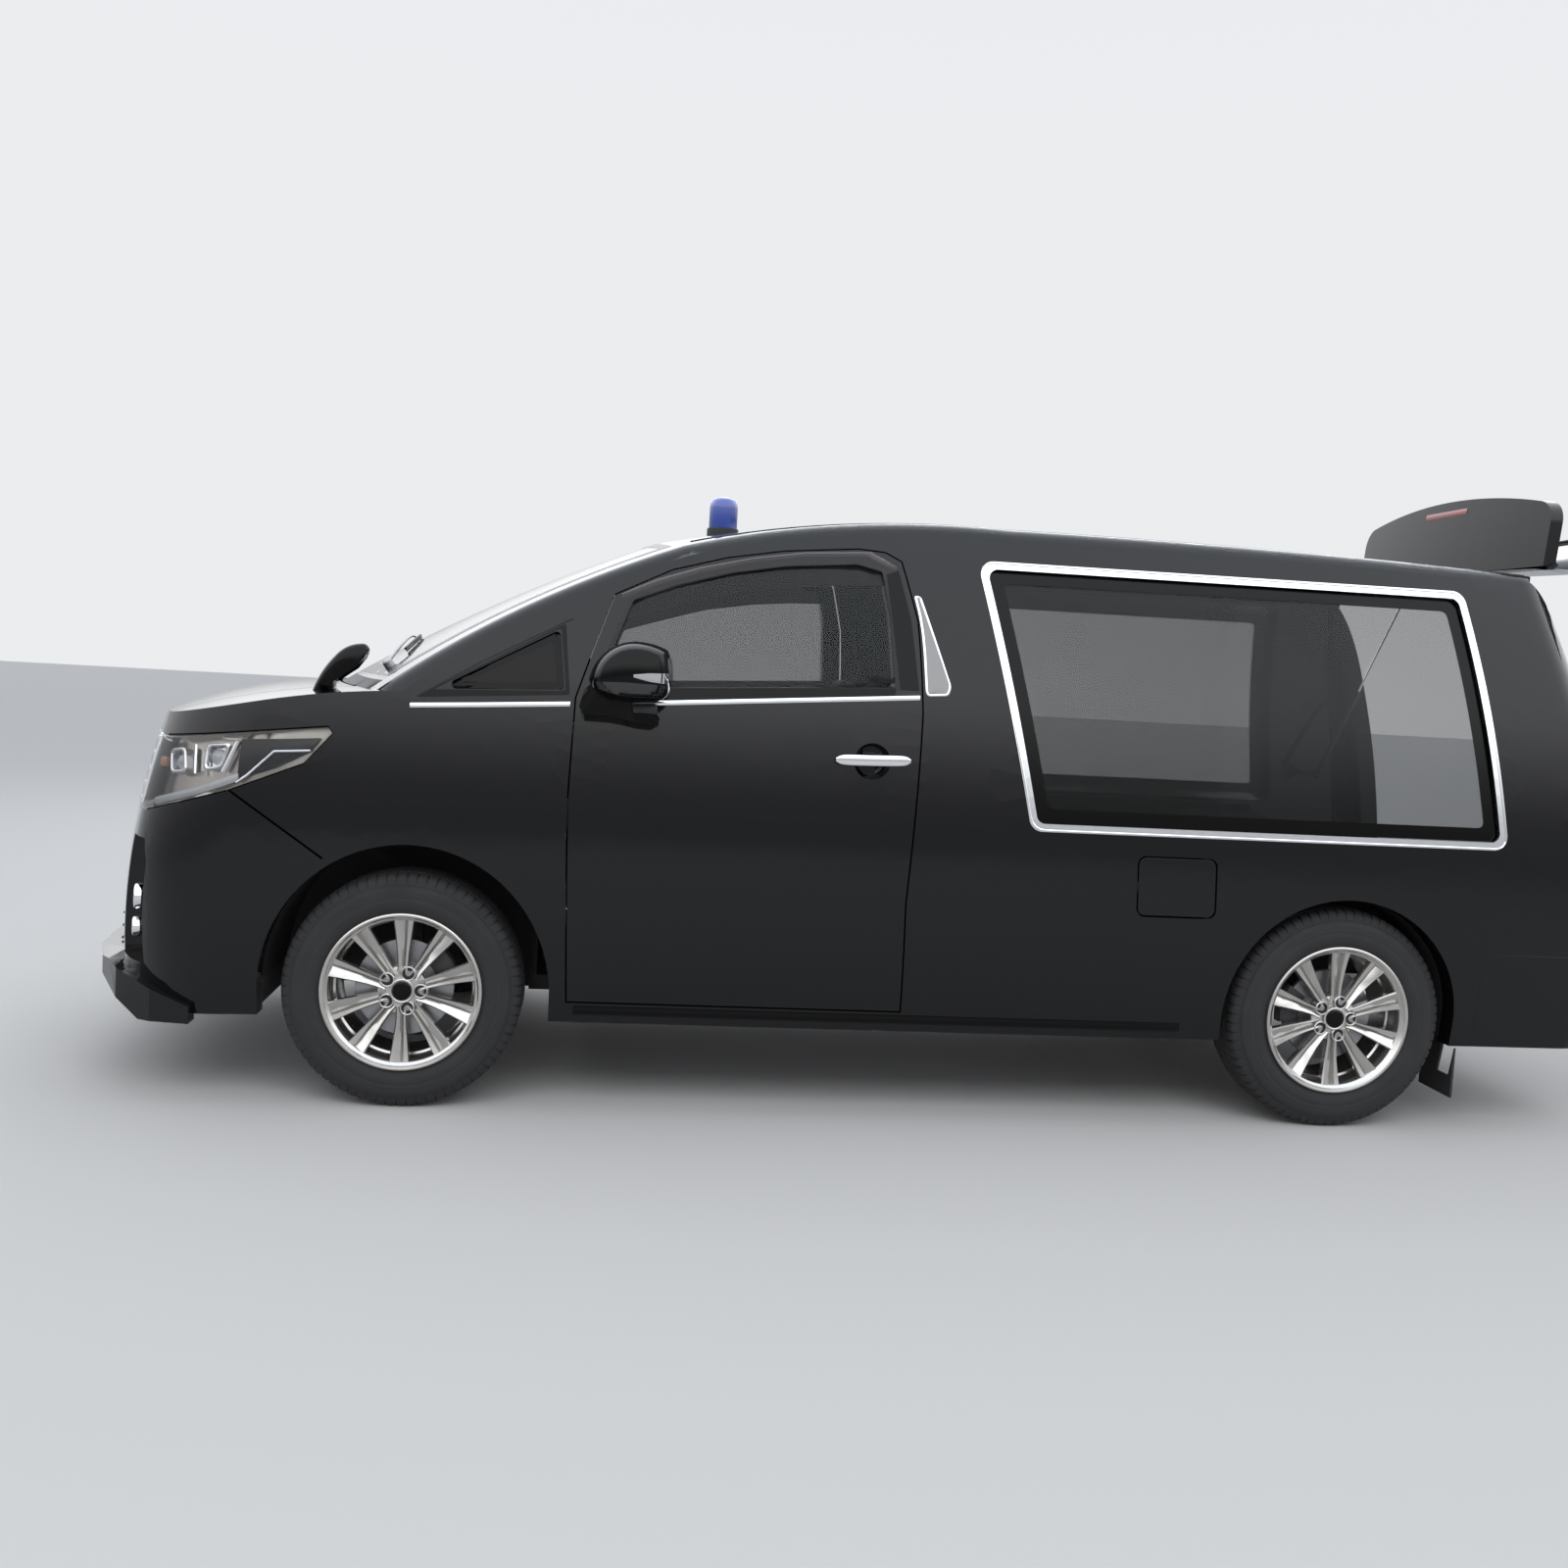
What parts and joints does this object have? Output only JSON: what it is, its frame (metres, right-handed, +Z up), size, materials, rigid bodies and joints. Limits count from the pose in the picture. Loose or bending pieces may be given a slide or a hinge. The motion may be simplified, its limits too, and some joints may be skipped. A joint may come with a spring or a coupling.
{
  "type": "hearse",
  "caption": "Long black van-bodied hearse with large side windows, chrome grille, spoked alloy wheels, opening doors, bonnet, fuel lid and raised tailgate over a casket deck.",
  "frame": {"origin": "bottom centre of the whole car with the tailgate open, on the ground", "axes": "+X to the rear, +Y to the right-hand side of the car, +Z up"},
  "size_m": [6.042, 2.2, 2.185],
  "materials": {
    "body_paint": "high gloss black paint",
    "window_glass": "lightly tinted glass",
    "tail_lamp_lens": "red moulded lens",
    "beacon_lens": "blue moulded lens",
    "lamp_housing": "silvered reflector",
    "window_frame": "polished strip",
    "trim_chrome": "bright chrome",
    "tyre": "matt black tyre rubber",
    "wheel_alloy": "silver lacquered alloy",
    "deck_board": "varnished board",
    "seat_cloth": "dark woven cloth",
    "dark_plastic": "grained dark plastic",
    "mud_flap_rubber": "black rubber",
    "chassis_metal": "bare and coated steel",
    "floor_paint": "dark underbody paint"
  },
  "bodies": {
    "body": {"beacon": "beacon_lens", "cowl": "dark_plastic", "dashboard": "dark_plastic", "deck": "deck_board", "engine": "chassis_metal", "exhaust": "chassis_metal", "fender_left": "body_paint", "fender_mirror": "body_paint", "fender_right": "body_paint", "floor": "floor_paint", "front_bumper": "body_paint", "grille": "trim_chrome", "headlamp_left": "lamp_housing", "headlamp_right": "lamp_housing", "load_glass_left": "window_glass", "load_glass_right": "window_glass", "load_window_frame_left": "window_frame", "load_window_frame_right": "window_frame", "mud_flap_left": "mud_flap_rubber", "mud_flap_right": "mud_flap_rubber", "quarter_glass_left": "window_glass", "quarter_glass_right": "window_glass", "rear_axle": "chassis_metal", "rear_bumper": "body_paint", "roof": "body_paint", "seat_left": "seat_cloth", "seat_right": "seat_cloth", "side_left": "body_paint", "side_right": "body_paint", "tail_lamp_left": "tail_lamp_lens", "tail_lamp_right": "tail_lamp_lens", "windscreen": "window_glass"},
    "bonnet": {"bonnet": "body_paint"},
    "door_left": {"door_glass_left": "window_glass", "door_handle_left": "trim_chrome", "door_left": "body_paint", "door_mirror_left": "body_paint"},
    "door_right": {"door_glass_right": "window_glass", "door_handle_right": "trim_chrome", "door_mirror_right": "body_paint", "door_right": "body_paint"},
    "fuel_lid": {"fuel_lid": "body_paint"},
    "hatch": {"hatch": "body_paint", "hatch_glass": "window_glass", "hatch_spoiler": "body_paint"},
    "knuckle_left": {"knuckle_left": "chassis_metal"},
    "knuckle_right": {"knuckle_right": "chassis_metal"},
    "wheel_front_left": {"rim_front_left": "wheel_alloy", "tyre_front_left": "tyre"},
    "wheel_front_right": {"rim_front_right": "wheel_alloy", "tyre_front_right": "tyre"},
    "wheel_rear_left": {"rim_rear_left": "wheel_alloy", "tyre_rear_left": "tyre"},
    "wheel_rear_right": {"rim_rear_right": "wheel_alloy", "tyre_rear_right": "tyre"},
    "steering_wheel": {"steering_wheel": "dark_plastic"},
    "strut_rod_left": {"strut_rod_left": "chassis_metal"},
    "strut_rod_right": {"strut_rod_right": "chassis_metal"},
    "strut_tube_left": {"strut_tube_left": "chassis_metal"},
    "strut_tube_right": {"strut_tube_right": "chassis_metal"}
  },
  "joints": [
    {"name": "door_left_hinge", "type": "hinge", "parent": "body", "child": "door_left", "pos_m": [-1.5005, -0.9284, 0.75], "axis": [0, 0.052, 0.9986], "range_deg": [-65, 0]},
    {"name": "door_right_hinge", "type": "hinge", "parent": "body", "child": "door_right", "pos_m": [-1.5005, 0.9284, 0.75], "axis": [0, -0.052, 0.9986], "range_deg": [0, 65]},
    {"name": "bonnet_hinge", "type": "hinge", "parent": "body", "child": "bonnet", "pos_m": [-2.183, 0, 1.272], "axis": [0, 1, 0], "range_deg": [0, 50]},
    {"name": "hatch_hinge", "type": "hinge", "parent": "body", "child": "hatch", "pos_m": [1.736, 0, 1.89], "axis": [0, -1, 0], "range_deg": [-90, 0]},
    {"name": "fuel_lid_hinge", "type": "hinge", "parent": "body", "child": "fuel_lid", "pos_m": [0.3017, -0.924, 0.782], "axis": [0, 0, 1], "range_deg": [-95, 0]},
    {"name": "steer_left", "type": "hinge", "parent": "body", "child": "knuckle_left", "pos_m": [-1.976, -0.74, 0.3635], "axis": [0, 0, 1], "range_deg": [-35, 35]},
    {"name": "steer_right", "type": "hinge", "parent": "body", "child": "knuckle_right", "pos_m": [-1.976, 0.74, 0.3635], "axis": [0, 0, 1], "range_deg": [-35, 35]},
    {"name": "spin_front_left", "type": "hinge", "parent": "knuckle_left", "child": "wheel_front_left", "pos_m": [-1.976, -0.785, 0.3635], "axis": [0, 1, 0], "continuous": true},
    {"name": "spin_front_right", "type": "hinge", "parent": "knuckle_right", "child": "wheel_front_right", "pos_m": [-1.976, 0.785, 0.3635], "axis": [0, 1, 0], "continuous": true},
    {"name": "spin_rear_left", "type": "hinge", "parent": "body", "child": "wheel_rear_left", "pos_m": [1.024, -0.785, 0.3635], "axis": [0, 1, 0], "continuous": true},
    {"name": "spin_rear_right", "type": "hinge", "parent": "body", "child": "wheel_rear_right", "pos_m": [1.024, 0.785, 0.3635], "axis": [0, 1, 0], "continuous": true},
    {"name": "steering_wheel_turn", "type": "hinge", "parent": "body", "child": "steering_wheel", "pos_m": [-1.176, 0.39, 1.01], "axis": [0.8829, 0, 0.4695], "range_deg": [-560, 560]},
    {"name": "strut_turn_left", "type": "hinge", "parent": "body", "child": "strut_tube_left", "pos_m": [1.664, -0.672, 1.08], "axis": [0, -1, 0], "range_deg": [-2, 22]},
    {"name": "strut_slide_left", "type": "slide", "parent": "strut_tube_left", "child": "strut_rod_left", "axis": [0.3888, 0, 0.9213], "range_m": [-0.29, 0.01]},
    {"name": "strut_turn_right", "type": "hinge", "parent": "body", "child": "strut_tube_right", "pos_m": [1.664, 0.672, 1.08], "axis": [0, -1, 0], "range_deg": [-2, 22]},
    {"name": "strut_slide_right", "type": "slide", "parent": "strut_tube_right", "child": "strut_rod_right", "axis": [0.3888, 0, 0.9213], "range_m": [-0.29, 0.01]}
  ],
  "couplings": [
    {"joint": "steer_right", "follows": "steer_left", "ratio": 1},
    {"joint": "steering_wheel_turn", "follows": "steer_left", "ratio": -16},
    {"joint": "strut_turn_left", "follows": "hatch_hinge", "ratio": -0.22583},
    {"joint": "strut_slide_left", "follows": "hatch_hinge", "m_per_rad": 0.17036},
    {"joint": "strut_turn_right", "follows": "hatch_hinge", "ratio": -0.22583},
    {"joint": "strut_slide_right", "follows": "hatch_hinge", "m_per_rad": 0.17036}
  ]
}
